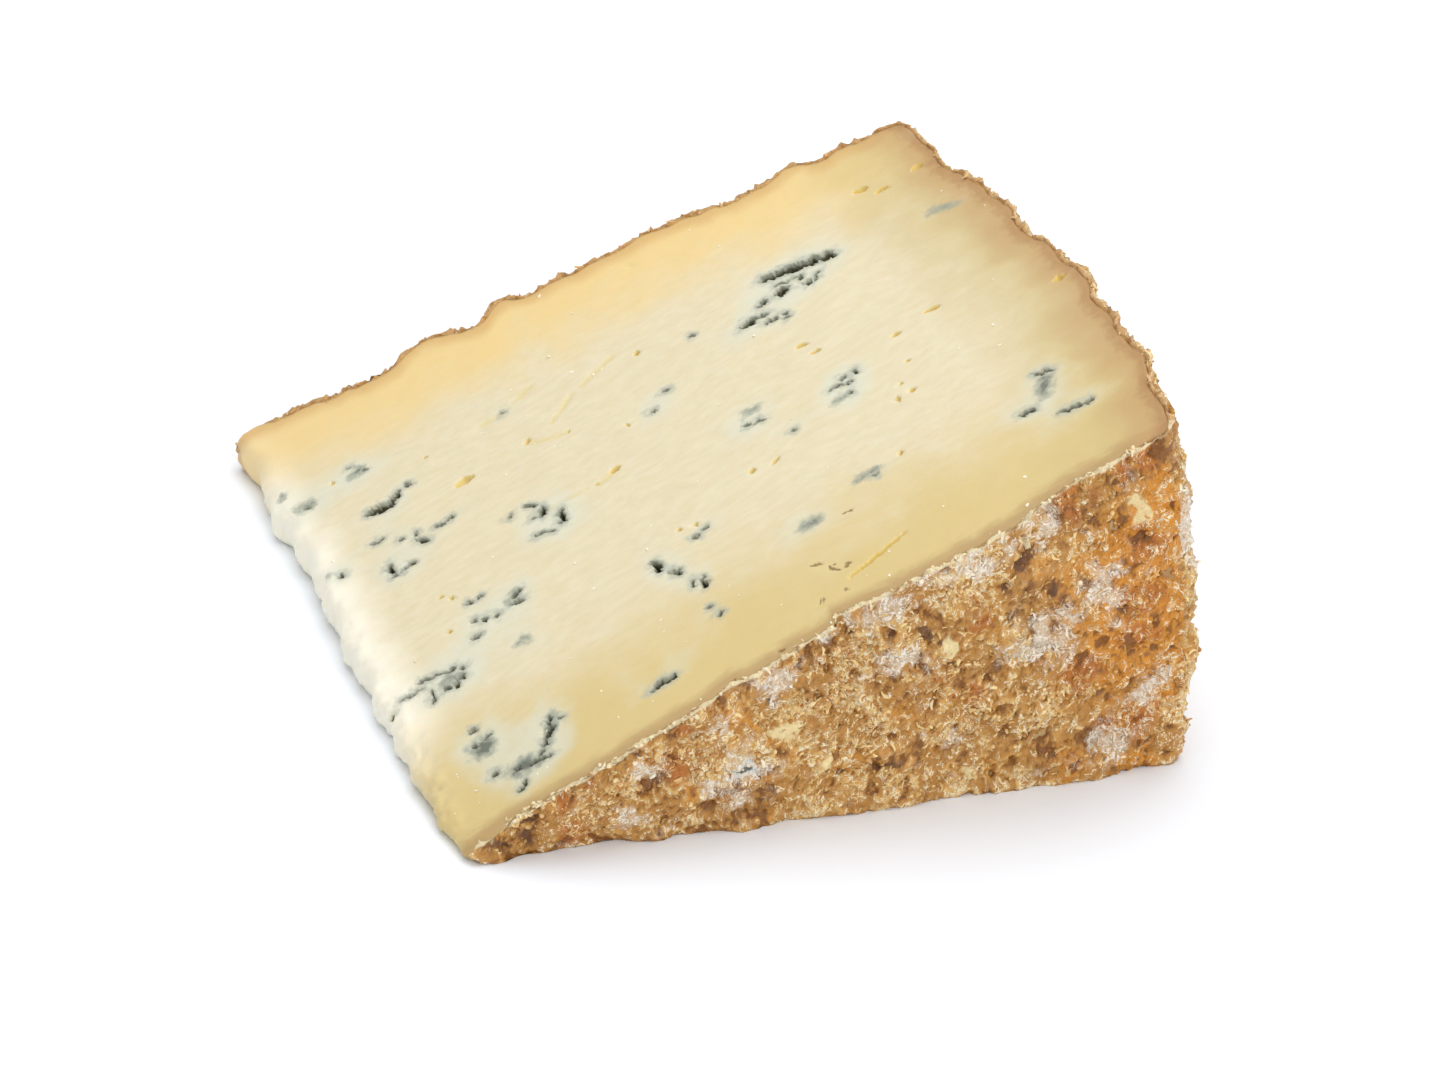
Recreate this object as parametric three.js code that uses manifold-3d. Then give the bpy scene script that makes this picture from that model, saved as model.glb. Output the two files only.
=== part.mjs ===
// A wedge of blue cheese with a natural rind, cut from a small wheel and lying on one cut face.
// Millimetres, +Z up. A place on the wedge is given by three measures: reach, the way out from the
// tip line to the rind; depth, from 0 at the front flat of the wheel to 1 at its back flat; and
// height above the lower cut face, which lies on Z = 0. The finished solid is moved at the end so
// that the middle of its footprint is the origin.

import * as THREE from 'three';
import { mergeVertices } from 'three/addons/utils/BufferGeometryUtils.js';
import Module from 'manifold-3d';

const wasm = await Module();
wasm.setup();

// Size of the wheel and of the cut.
const axisLength = 113;
const wedgeAngle = THREE.MathUtils.degToRad(26.5);
const tipRadius = 3;
const tipLean = -14;
const footReach = 98;
const topReach = 95.4;

// How the flats and the round side stray from a true wheel.
const sideBulge = 3.2;
const barrelBulge = 4.2;
const barrelPeak = 0.37;
const frontSetback = 0.6;
const frontCornerSweep = 3.8;
const backSweep = 16;
const frontCornerRadius = 2;
const backCornerRadius = 2.5;
const tipCornerRadius = 2.6;

// The tip's lower edge is squarer than an arc: 1 is an arc, and less is squarer.
const tipSquareness = 0.4;

// The front end of the tip is worn down, and the upper cut face dips towards it.
const tipWearDepth = 2.4;
const tipWearReach = 12;
const tipWearLength = 16;

// Slow waves of the edges, each a place along the edge from 0 to 1 and a height outwards.
const tipWaves = [[0.1, 1], [0.25, 1], [0.42, 0.5], [0.7, -1], [0.9, -1.5]];
const rimWaves = [[0.2, -0.5], [0.45, 0.5], [0.68, 0.5], [1, 1]];
const backWaves = [[0.15, -1.5], [0.62, 0.5], [0.85, -0.5]];
const frontTopWaves = [[0.22, 1], [0.62, 0.5], [0.9, 1]];
const frontFootWaves = [[0.08, -1], [0.3, -0.5], [0.43, 0.5], [0.62, -0.5], [0.9, -1]];
const waveSpread = 0.11;

// Short bumps and nicks, written alike: crumbled curd at the tip, lumps of rind at the back.
const tipNicks = [[0.02, -0.5], [0.21, -0.5], [0.3, -0.5], [0.38, -0.5], [0.75, -0.5], [0.8, 1]];
const backLumps = [
  [0.22, -1], [0.27, 1], [0.3, 1.5], [0.35, -1.5], [0.4, 2],
  [0.6, 1], [0.78, -1], [0.81, 1], [0.84, -1],
];
const nickSpread = 0.025;

// Where a flake of rind has broken off the front flat, along its upper edge.
const chipReach = 50;
const chipDepth = 2.5;
const chipLength = 4;

// Crags and lumps of the rind, scallops of the tip and the waves that the wire leaves in a cut:
// the distance from one to the next, and the height.
const cragPitch = 27;
const cragHeight = 0.7;
const lumpPitch = 12;
const lumpHeight = 0.5;
const scallopPitch = 15;
const scallopHeight = 0.5;
const wirePitch = 80;
const wireHeight = 0.3;

// How finely the skin is divided out to the rim, along the axis and up the round side.
const stepsOut = 30;
const stepsAlong = 36;
const stepsUp = 16;

// Holes that the blue mould and the curd's gaps open on the upper cut face: reach and distance
// from the front flat of the middle, length, width and depth, and the turn from the way outwards.
const veinHoles = [
  // The long cleft high on the face, with the pits in front of it.
  [73.5, 78, 12.5, 2, 3.5, -15],
  [70, 74.5, 3.5, 2, 3, -15],
  [73.5, 73.5, 3.5, 1.5, 3, -30],
  [67, 74, 2.5, 1.5, 2, 5],
  [64, 71.5, 3, 2, 3.5, 5],
  [66.5, 70, 3, 1.5, 2.5, -10],
  // Small pits halfway up the face.
  [69, 48, 2.5, 1.5, 2, -70],
  [68, 46, 3.5, 1.5, 2, -10],
  [57.5, 49.5, 3, 1.5, 2, -25],
  [54.5, 23, 3, 2, 1.5, 0],
  // Three slits side by side near the front flat and the round side.
  [88, 26.5, 3, 1.5, 2, -20],
  [83.5, 20.5, 3, 1.5, 2, -10],
  [88, 16.5, 5, 1.5, 2, -10],
  // A cavity by the tip with a horn, and crooked slits in front of it.
  [12, 76.5, 5, 2, 4, -15],
  [14.5, 78, 3, 1.5, 3, 40],
  [14.5, 64.5, 3, 1.5, 2, -40],
  [9, 61.5, 3, 1.5, 2, 85],
  // A hooked gap and the gap that stands beside it.
  [28.5, 57, 4.5, 1.5, 3, -70],
  [28.5, 55, 2.5, 1.5, 2.5, -20],
  [30.5, 52.5, 3.5, 1.5, 3, 80],
  // Short slits in a row from the tip's edge inwards.
  [7, 35, 5, 1.5, 2.5, -15],
  [9.5, 33, 2.5, 1.5, 2, -75],
  [15, 40.5, 2.5, 1.5, 2, -30],
  [20, 40.5, 2.5, 1.5, 2.5, -15],
  // A forked crack and two slits at the front of the tip, and a streak farther out.
  [14.5, 12.5, 6, 1.5, 3.5, 60],
  [7, 16.5, 3.5, 2.5, 1.5, 0],
  [10.5, 8.5, 5, 1.5, 2, -15],
  [29, 9, 5, 1.5, 2.5, 5],
  // Gaps in a crooked line in the middle of the face.
  [37, 30, 5.5, 1.5, 2.5, -70],
  [40, 23.5, 2.5, 1.5, 2.5, -85],
];

const cutSlope = Math.tan(wedgeAngle);
const apexGap = tipRadius / Math.tan(wedgeAngle / 2) - tipRadius;

// Height of the flat upper cut at a reach.
function cutHeight(reach) {
  return cutSlope * (reach + apexGap);
}

function waves(place, list, spread = waveSpread) {
  let sum = 0;
  for (const [at, height] of list) {
    sum += height * Math.exp(-(((place - at) / spread) ** 2));
  }
  return sum;
}

// How far a rounded corner falls back at a distance from the end that it rounds.
function cornerFall(distance, radius) {
  const inside = THREE.MathUtils.clamp(distance, 0, radius);
  return radius - Math.sqrt(radius ** 2 - (radius - inside) ** 2);
}

// Uneven swells from -1 to 1, about one to each pitch both ways: waves that bend each other.
function swells(across, up, pitch) {
  const a = (2 * Math.PI * across) / pitch;
  const b = (2 * Math.PI * up) / pitch;
  return Math.sin(a + 1.7 * Math.sin(0.9 * b + 0.4)) * Math.sin(1.1 * b + 1.3 * Math.sin(0.7 * a) + 1);
}

// Height of the rind's crags and lumps at a place on one of its three sides.
function rindRelief(across, up, side) {
  const start = 40 * side;
  return cragHeight * swells(across + start, up, cragPitch) + lumpHeight * swells(across, up + start, lumpPitch);
}

// The front flat falls back at its corner with the round side and keeps the chip's step.
function frontFace(reach, climb, height) {
  const out = reach / 100;
  const past = reach - chipReach;
  const chip = past > 0 ? chipDepth * Math.exp(-past / chipLength) * climb ** 4 : 0;
  const bulge = THREE.MathUtils.lerp(waves(out, frontFootWaves), waves(out, frontTopWaves), climb);
  const sweep = frontSetback + frontCornerSweep * out ** 5 * climb;
  return sweep + chip - bulge - rindRelief(reach, height, 0);
}

// The back flat comes forwards towards the round side.
function backFace(reach, height) {
  const out = reach / 100;
  const lumps = waves(out, backWaves) + waves(out, backLumps, nickSpread);
  return axisLength - backSweep * out + lumps + rindRelief(reach, height, 1);
}

// The round side at a part of the way up: bulged like a barrel and rounded at its two ends.
function sidePoint(climb, depth) {
  const sideLength = axisLength - frontSetback - backSweep;
  const span = depth < barrelPeak ? barrelPeak : 1 - barrelPeak;
  const fromPeak = (depth - barrelPeak) / span;
  const barrel = barrelBulge * (1 - fromPeak ** 2) + waves(depth, rimWaves);
  const corners = cornerFall(depth * sideLength, frontCornerRadius)
    + cornerFall((1 - depth) * sideLength, backCornerRadius);
  function reachAt(part) {
    const bulge = sideBulge * 4 * part * (1 - part);
    const relief = rindRelief(depth * sideLength, part * cutHeight(topReach), 2);
    return THREE.MathUtils.lerp(footReach, topReach, part) + bulge + barrel - corners + relief;
  }
  return [reachAt(climb), climb * cutHeight(reachAt(1))];
}

// The blunt tip at a part of the way up: an arc from the lower cut face round to the upper one.
function tipPoint(climb, depth) {
  const along = depth * axisLength;
  const corners = cornerFall(along, tipCornerRadius)
    + cornerFall(axisLength - along, tipCornerRadius / 2);
  const scallop = scallopHeight * swells(along, 3, scallopPitch);
  const setback = corners + scallop - waves(depth, tipWaves) - waves(depth, tipNicks, nickSpread);
  const radius = (apexGap + setback) / (1 / Math.tan(wedgeAngle / 2) - 1);
  const turn = THREE.MathUtils.lerp(1.5 * Math.PI, 0.5 * Math.PI + wedgeAngle, climb);
  const forwards = Math.abs(Math.cos(turn)) ** (turn > Math.PI ? tipSquareness : 1);
  return [setback + radius * (1 - forwards), radius * (1 + Math.sin(turn))];
}

// How far the upper cut face lies below a true plane.
function cutDip(reach, along) {
  const worn = Math.exp(-((reach / tipWearReach) ** 2) - ((along / tipWearLength) ** 2));
  const wire = Math.sin((2 * Math.PI * (along + reach / 3)) / wirePitch);
  return tipWearDepth * worn + wireHeight * wire;
}

// A place on the skin, from the parts of the way out, along the axis and up between the cuts.
function skinPoint(out, depth, climb) {
  const tip = tipPoint(climb, depth);
  const side = sidePoint(climb, depth);
  const reach = THREE.MathUtils.lerp(tip[0], side[0], out);
  const level = THREE.MathUtils.lerp(tip[1], side[1], out);
  const front = frontFace(reach, climb, level);
  const y = THREE.MathUtils.lerp(front, backFace(reach, level), depth);
  const height = level * (1 - cutDip(reach, y) / cutHeight(Math.max(reach, 0)));
  return new THREE.Vector3(reach + tipLean * (y / axisLength), y, height);
}

// Steps crowd together towards both ends, where the corners are rounded.
function crowded(part, amount) {
  return part - (amount * Math.sin(2 * Math.PI * part)) / (2 * Math.PI);
}

function wedgeGeometry() {
  const geometry = new THREE.BoxGeometry(1, 1, 1, stepsOut, stepsAlong, stepsUp);
  const skin = geometry.attributes.position;
  for (let i = 0; i < skin.count; i += 1) {
    const out = crowded(skin.getX(i) + 0.5, 0.5);
    const depth = crowded(skin.getY(i) + 0.5, 0.7);
    const climb = skin.getZ(i) + 0.5;
    skin.setXYZ(i, ...skinPoint(out, depth, climb));
  }
  return geometry;
}

// One lens-shaped hole, laid in the upper cut face with its long side turned from the way outwards.
function holeGeometry([reach, y, length, width, depth, turn]) {
  const lean = tipLean / axisLength;
  const outwards = new THREE.Vector3(Math.cos(wedgeAngle), 0, Math.sin(wedgeAngle));
  const alongTip = new THREE.Vector3(lean, 1, 0).normalize();
  const away = new THREE.Vector3().crossVectors(outwards, alongTip).normalize();
  const angle = THREE.MathUtils.degToRad(turn);
  const longWay = outwards.multiplyScalar(Math.cos(angle)).addScaledVector(alongTip, Math.sin(angle)).normalize();
  const shortWay = new THREE.Vector3().crossVectors(away, longWay);
  const geometry = new THREE.IcosahedronGeometry(1, 1);
  geometry.scale(length / 2, width / 2, depth);
  geometry.applyMatrix4(new THREE.Matrix4().makeBasis(longWay, shortWay, away));
  geometry.translate(reach + lean * y, y, cutHeight(reach) - cutDip(reach, y));
  return geometry;
}

function toSolid(geometry) {
  const bare = geometry.clone();
  bare.deleteAttribute('normal');
  bare.deleteAttribute('uv');
  const welded = mergeVertices(bare, 1e-4);
  return new wasm.Manifold(new wasm.Mesh({
    numProp: 3,
    vertProperties: new Float32Array(welded.attributes.position.array),
    triVerts: new Uint32Array(welded.index.array),
  }));
}

function toGeometry(solid) {
  const { vertProperties, triVerts } = solid.getMesh();
  const geometry = new THREE.BufferGeometry();
  geometry.setAttribute('position', new THREE.Float32BufferAttribute(vertProperties, 3));
  geometry.setIndex(Array.from(triVerts));
  return geometry;
}

function cheeseGeometry() {
  let solid = toSolid(wedgeGeometry());
  for (const hole of veinHoles) {
    solid = solid.subtract(toSolid(holeGeometry(hole)));
  }
  const geometry = toGeometry(solid);
  geometry.computeBoundingBox();
  const { min, max } = geometry.boundingBox;
  geometry.translate(-(min.x + max.x) / 2, -(min.y + max.y) / 2, -min.z);
  geometry.computeVertexNormals();
  return geometry;
}

const pasteFinish = new THREE.MeshStandardMaterial({ color: 0xf1e4c2, roughness: 0.55, metalness: 0 });
const cheese = new THREE.Mesh(cheeseGeometry(), pasteFinish);
cheese.name = 'cheese_wedge';

const blueCheeseWedge = new THREE.Group();
blueCheeseWedge.add(cheese);

export default blueCheeseWedge;
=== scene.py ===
import math

import bmesh
import bpy
import numpy as np
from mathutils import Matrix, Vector, noise


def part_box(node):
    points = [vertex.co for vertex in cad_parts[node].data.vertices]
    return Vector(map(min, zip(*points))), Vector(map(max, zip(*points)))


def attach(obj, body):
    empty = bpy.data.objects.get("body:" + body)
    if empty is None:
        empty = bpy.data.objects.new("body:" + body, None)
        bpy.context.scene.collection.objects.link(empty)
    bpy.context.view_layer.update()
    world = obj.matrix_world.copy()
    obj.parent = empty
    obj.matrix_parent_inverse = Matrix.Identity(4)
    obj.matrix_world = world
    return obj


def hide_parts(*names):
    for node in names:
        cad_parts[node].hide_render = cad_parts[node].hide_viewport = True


# A wedge of blue cheese with a natural rind, lying on one of its two cut faces. The paste comes
# first, then the rind that grew on it, the granules of that rind and the crumbs left by the cut.
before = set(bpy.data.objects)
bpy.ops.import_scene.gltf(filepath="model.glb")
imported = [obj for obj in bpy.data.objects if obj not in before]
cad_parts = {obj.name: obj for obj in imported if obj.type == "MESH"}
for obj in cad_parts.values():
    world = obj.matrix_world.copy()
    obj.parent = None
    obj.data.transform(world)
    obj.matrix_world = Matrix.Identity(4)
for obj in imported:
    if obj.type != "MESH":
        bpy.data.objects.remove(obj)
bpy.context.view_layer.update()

# ---------------------------------------------------------------------------------------------
# The paste. Pressed curd of cow's milk, cut out of the wheel with a wire, so that two of its
# faces are flat. Blue mould has grown in the gaps between the curds and stained what lies round
# them. It ripens from the rind inwards, and is yellow and translucent there.

MM = 0.001

# The wheel and the cut, in millimetres and degrees, as in the solid.
axis_length = 113
wedge_angle = math.radians(26.5)
tip_radius = 3
tip_lean = -14
foot_reach = 98
top_reach = 95.4
side_bulge = 3.2
barrel_bulge = 4.2
barrel_peak = 0.37
front_setback = 0.6
front_corner_sweep = 3.8
back_sweep = 16
front_corner_radius = 2
back_corner_radius = 2.5
tip_corner_radius = 2.6
tip_squareness = 0.4
tip_wear_depth = 2.4
tip_wear_reach = 12
tip_wear_length = 16
tip_waves = [(0.1, 1), (0.25, 1), (0.42, 0.5), (0.7, -1), (0.9, -1.5)]
rim_waves = [(0.2, -0.5), (0.45, 0.5), (0.68, 0.5), (1, 1)]
back_waves = [(0.15, -1.5), (0.62, 0.5), (0.85, -0.5)]
front_top_waves = [(0.22, 1), (0.62, 0.5), (0.9, 1)]
front_foot_waves = [(0.08, -1), (0.3, -0.5), (0.43, 0.5), (0.62, -0.5), (0.9, -1)]
wave_spread = 0.11
tip_nicks = [(0.02, -0.5), (0.21, -0.5), (0.3, -0.5), (0.38, -0.5), (0.75, -0.5), (0.8, 1)]
back_lumps = [(0.22, -1), (0.27, 1), (0.3, 1.5), (0.35, -1.5), (0.4, 2)]
back_lumps += [(0.6, 1), (0.78, -1), (0.81, 1), (0.84, -1)]
nick_spread = 0.025
chip_reach = 50
chip_depth = 2.5
chip_length = 4
chip_ramp = 1.2
crag_pitch = 27
crag_height = 0.7
lump_pitch = 12
lump_height = 0.5
scallop_pitch = 15
scallop_height = 0.5
wire_pitch = 80
wire_height = 0.3

cut_slope = math.tan(wedge_angle)
apex_gap = tip_radius / math.tan(wedge_angle / 2) - tip_radius
side_length = axis_length - front_setback - back_sweep


def lerp(a, b, t):
    return a + (b - a) * t


def smooth(value, low, high):
    """0 below low, 1 above high, and an even swing between them."""
    t = np.clip((value - low) / (high - low), 0, 1)
    return t * t * (3 - 2 * t)


def cut_height(reach):
    return cut_slope * (reach + apex_gap)


def waves(place, hills, spread=wave_spread):
    return sum(height * np.exp(-(((place - at) / spread) ** 2)) for at, height in hills)


def corner_fall(distance, radius):
    inside = np.clip(distance, 0, radius)
    return radius - np.sqrt(radius**2 - (radius - inside) ** 2)


def swells(across, up, pitch):
    a = 2 * np.pi * across / pitch
    b = 2 * np.pi * up / pitch
    return np.sin(a + 1.7 * np.sin(0.9 * b + 0.4)) * np.sin(1.1 * b + 1.3 * np.sin(0.7 * a) + 1)


def rind_relief(across, up, side):
    crags = crag_height * swells(across + 40 * side, up, crag_pitch)
    return crags + lump_height * swells(across, up + 40 * side, lump_pitch)


def front_face(reach, climb, height):
    """The chip starts with a short ramp, so that the fine grid doesn't fold over at its step."""
    past = reach - chip_reach
    broken = smooth(past, -chip_ramp / 2, chip_ramp / 2)
    chip = chip_depth * broken * np.exp(-np.maximum(past, 0) / chip_length) * climb**4
    out = reach / 100
    bulge = lerp(waves(out, front_foot_waves), waves(out, front_top_waves), climb)
    sweep = front_setback + front_corner_sweep * np.maximum(out, 0) ** 5 * climb
    return sweep + chip - bulge - rind_relief(reach, height, 0)


def back_face(reach, height):
    out = reach / 100
    lumps = waves(out, back_waves) + waves(out, back_lumps, nick_spread)
    return axis_length - back_sweep * out + lumps + rind_relief(reach, height, 1)


def side_reach(climb, depth):
    span = np.where(depth < barrel_peak, barrel_peak, 1 - barrel_peak)
    barrel = barrel_bulge * (1 - ((depth - barrel_peak) / span) ** 2) + waves(depth, rim_waves)
    front = corner_fall(depth * side_length, front_corner_radius)
    back = corner_fall((1 - depth) * side_length, back_corner_radius)
    bulge = side_bulge * 4 * climb * (1 - climb)
    relief = rind_relief(depth * side_length, climb * cut_height(top_reach), 2)
    return lerp(foot_reach, top_reach, climb) + bulge + barrel - front - back + relief


def tip_point(climb, depth):
    along = depth * axis_length
    corners = corner_fall(along, tip_corner_radius)
    corners = corners + corner_fall(axis_length - along, tip_corner_radius / 2)
    setback = corners + scallop_height * swells(along, 3, scallop_pitch)
    setback = setback - waves(depth, tip_waves) - waves(depth, tip_nicks, nick_spread)
    radius = (apex_gap + setback) / (1 / math.tan(wedge_angle / 2) - 1)
    turn = lerp(1.5 * np.pi, 0.5 * np.pi + wedge_angle, climb)
    forwards = np.abs(np.cos(turn)) ** np.where(turn > np.pi, tip_squareness, 1)
    return setback + radius * (1 - forwards), radius * (1 + np.sin(turn))


def cut_dip(reach, along):
    worn = np.exp(-((reach / tip_wear_reach) ** 2) - (along / tip_wear_length) ** 2)
    wire = np.sin(2 * np.pi * (along + reach / 3) / wire_pitch)
    return tip_wear_depth * worn + wire_height * wire


def skin_place(out, depth, climb):
    """Reach, distance from the front flat and height of a place on the skin, in millimetres."""
    tip_reach, tip_height = tip_point(climb, depth)
    reach = lerp(tip_reach, side_reach(climb, depth), out)
    level = lerp(tip_height, climb * cut_height(side_reach(1, depth)), out)
    along = lerp(front_face(reach, climb, level), back_face(reach, level), depth)
    height = level * (1 - cut_dip(reach, along) / cut_height(np.maximum(reach, 0)))
    return reach, along, height


def leaned(reach, along, height):
    return np.stack([reach + tip_lean * along / axis_length, along, height], axis=1)


# The solid was moved so that the middle of its footprint is the origin. The same form, worked
# out here on a plain grid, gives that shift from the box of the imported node.
plain_steps = 240
climb_stride = 40
parts = np.linspace(0, 1, plain_steps)
out_parts, depth_parts, climb_parts = np.meshgrid(parts, parts, parts[::climb_stride], indexing="ij")
plain = leaned(*skin_place(out_parts.ravel(), depth_parts.ravel(), climb_parts.ravel()))
low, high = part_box("cheese_wedge")
middle = (plain.min(axis=0) + plain.max(axis=0)) / 2
shift = np.array([(low.x + high.x) / 2 / MM - middle[0], (low.y + high.y) / 2 / MM - middle[1], 0])


def lattice(*steps):
    """The skin of a box as a grid of squares, each corner once, places from 0 to 1.

    The steps say how many squares the box has outwards, along and upwards.
    """
    places = {}
    faces = []
    for first, second, fixed, low_turn in ((0, 1, 2, -1), (0, 2, 1, 1), (1, 2, 0, -1)):
        for i in range(steps[first]):
            for j in range(steps[second]):
                for level, turn in ((0, low_turn), (steps[fixed], -low_turn)):
                    square = []
                    for more_i, more_j in ((0, 0), (1, 0), (1, 1), (0, 1)):
                        corner = [level] * 3
                        corner[first] = i + more_i
                        corner[second] = j + more_j
                        square.append(places.setdefault(tuple(corner), len(places)))
                    faces.append(square[::turn])
    return np.array(list(places)) / np.array(steps), faces


def refine(shape, chosen):
    """Halves each edge whose two ends are chosen. chosen takes the places and gives a yes or no each."""
    spots = np.array([v.co for v in shape.verts])
    yes = chosen(spots)
    edges = [e for e in shape.edges if yes[e.verts[0].index] and yes[e.verts[1].index]]
    bmesh.ops.subdivide_edges(shape, edges=edges, cuts=1, use_grid_fill=True)
    shape.verts.index_update()


# Blender shifts noise_vector by a draw that follows the clock, unless it's given a seed.
noise.seed_set(1)


def rough(points, size, octaves=1, start=0.0):
    """Uneven values of about -1 to 1 at points in millimetres, with bumps of a size."""
    scaled = points / size + start
    return np.array([noise.fractal(p, 1.0, 2.0, octaves) for p in scaled])


def jolt(points, size):
    """Uneven moves of up to about 1 each way, with a size from one to the next."""
    return np.array([noise.noise_vector(p) for p in points / size])


def cut_place(reach, along):
    """A place on the upper cut, in millimetres up the slope and along the tip."""
    x = reach + tip_lean * along / axis_length
    return x * math.cos(wedge_angle) + cut_height(reach) * math.sin(wedge_angle), along


# So many millimetres outside a mark stand for a place nowhere near it.
nowhere = 9.0


def inside_mark(u, v, mark):
    """How far places lie inside a long mark, which tapers to its ends."""
    reach, along, length, width, turn = mark
    mid_u, mid_v = cut_place(reach, along)
    run, rise = math.cos(math.radians(turn)), math.sin(math.radians(turn))
    half = max(length - width, 0.1) / 2
    part = np.clip(((u - mid_u) * run + (v - mid_v) * rise) / half, -1, 1)
    gap = np.hypot(u - mid_u - part * half * run, v - mid_v - part * half * rise)
    return width / 2 * (0.62 + 0.38 * np.cos(np.pi / 2 * part)) - gap


def inside_marks(u, v, marks):
    """How far places lie inside the nearest of some marks."""
    best = np.full(len(u), -nowhere)
    for mark in marks:
        best = np.maximum(best, inside_mark(u, v, mark))
    return best


def haze_round(u, v, marks):
    """A shade round marks that adds up where they stand close together, from 0 to 1."""
    clear = np.ones(len(u))
    for mark in marks:
        past = np.maximum(-inside_mark(u, v, mark), 0)
        clear = clear * (1 - haze_share * min(mark[3], 1) * np.exp(-((past / haze_reach) ** 2)))
    return 1 - clear


def round_marks(dots):
    return [(reach, along, size, size, 0) for reach, along, size in dots]


# Gaps that the blue mould lines: reach and distance from the front flat of the middle, length and
# width, and the turn in degrees from the way outwards.
mould_gaps = [
    # The long cleft high on the face, and the pits in front of it.
    (73.5, 78, 12.5, 1.8, -15), (78, 76, 2, 1, -15), (71.5, 76, 4, 0.3, -15),
    (73.5, 73, 2, 1, -40), (75, 73.5, 2, 0.6, 45), (73, 75, 1.5, 0.5, 75),
    (70, 74.5, 3, 2, -15), (67.5, 74.5, 1.5, 1, 0), (67, 74, 2, 0.6, 5),
    (64, 71.5, 3, 1.5, 5), (66, 71.5, 2.5, 0.5, -15), (66.5, 69.5, 2, 0.7, 5),
    # Small pits halfway up the face.
    (70.5, 48, 1.5, 0.5, -75), (69, 48, 1.2, 0.6, 0), (69, 46.5, 1.5, 0.4, -10),
    (67.5, 47, 2, 0.6, -10), (57.5, 49, 2, 0.6, -25), (50.5, 67, 1.5, 0.5, -5),
    # Three slits side by side near the front flat and the round side.
    (88, 26.5, 3, 0.8, -20), (83.5, 20.5, 3, 1, -10), (88, 16.5, 5, 0.8, -10), (64.5, 25, 1, 0.3, -10),
    # A cavity by the tip with a horn, and crooked slits in front of it.
    (12, 76.5, 5, 1.8, -15), (14.5, 77.5, 3, 1, 40), (16.5, 78.5, 1.5, 0.6, -30),
    (9.5, 69.5, 2, 0.6, -5), (14.5, 64, 2.5, 0.8, -40), (14, 66, 2, 0.5, 80),
    (18, 65.5, 3.5, 0.3, 5), (9, 62, 3, 0.5, 85), (10.5, 60, 1.5, 0.3, 20),
    # A hooked gap and the gap that stands beside it.
    (28, 58.5, 2, 0.6, -55), (29, 56, 2.5, 0.8, -85), (28.5, 55, 2, 0.8, -20), (25, 58.5, 1, 0.4, -20),
    (30.5, 52.5, 3.5, 0.9, 80), (30.5, 51, 1, 0.5, 0), (27.5, 51, 3, 0.4, -20),
    # Short slits in rows from the tip's edge inwards.
    (15, 45.5, 1.2, 0.5, -60), (16.5, 45.5, 1, 0.5, 20), (20.5, 42, 2, 0.6, 55), (20, 40.5, 2.5, 0.8, -15),
    (6.5, 35, 5, 0.5, -15), (9.5, 32, 1.5, 0.6, -75), (5, 31.5, 3, 0.3, 80), (3, 34, 3.5, 0.3, 0),
    # A forked crack and two slits at the front of the tip, and a streak farther out.
    (7, 21, 1.2, 0.4, -40), (8.5, 6, 2, 0.5, 40), (11.5, 8.5, 3, 0.8, -15), (15.5, 14.5, 2, 0.5, 80),
    (14.5, 12, 3.5, 0.8, 55), (12.5, 9.5, 1.2, 0.6, 50), (29, 9, 4.5, 1.2, 5),
    # Gaps in a crooked line in the middle of the face.
    (36.5, 31.5, 3.5, 1, -80), (38, 28.5, 3, 0.8, -55), (39, 24.5, 2, 0.4, 85), (40, 23.5, 2.5, 0.8, -85),
    (39, 18, 1.2, 0.6, 0), (39.5, 16, 1.2, 0.6, 0), (42.5, 33, 1.5, 0.5, -30),
]

# Round pits of the same kind: reach, distance from the front flat and width.
mould_pits = [
    (68.5, 69, 0.8), (68.5, 68, 0.8), (68.5, 44, 1.2), (60, 43, 0.8), (56, 49.5, 1), (47.5, 64, 1),
    (12, 67, 0.8), (19, 65.5, 0.8), (9, 60, 1.2), (11.5, 60.5, 1), (3.5, 66.5, 1), (1.5, 68, 0.8),
    (14.5, 41.5, 1), (15.5, 40.5, 1.2), (17, 40, 1), (13.5, 38, 1.5), (9, 34.5, 1.2), (10, 33.5, 1),
    (7, 31.5, 1), (8.5, 31, 1), (-0.5, 33, 1.7), (8, 18, 1.2), (6, 18, 0.8), (6.5, 11, 1.2),
    (9.5, 9.5, 1), (13, 8, 1), (13.5, 10.5, 1.2), (16.5, 13.5, 0.8), (28.5, 50.5, 0.8), (27.5, 55.5, 0.8),
    (11.5, 90, 0.8), (13, 87.5, 0.8), (4, 86, 1), (44, 33.5, 1), (32, 82.5, 0.8), (57.5, 76, 0.6),
]

# Blue-grey mould that stains the paste where no gap opens at the cut, written like the gaps.
mould_stains = [
    (57.5, 52, 2.5, 1.2, 0), (54.5, 23, 4, 1.6, 0), (63.5, 26, 4, 0.8, 0), (87, 23.5, 5, 2, 60),
    (12, 88, 3, 1.6, 0), (4, 87, 3.5, 1.2, -10), (7, 16.5, 5, 4.2, 0), (8, 32.5, 3, 1.8, 0),
    (18, 32, 2, 1.2, 0), (10, 9, 6, 2.8, -20), (20, 42, 2.5, 1.6, 40), (2, 92, 1.5, 1, 0),
    (67, 44, 2.5, 1, 0), (15, 13, 5, 1.4, 60), (93, 72.5, 5, 0.5, -20),
]

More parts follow.
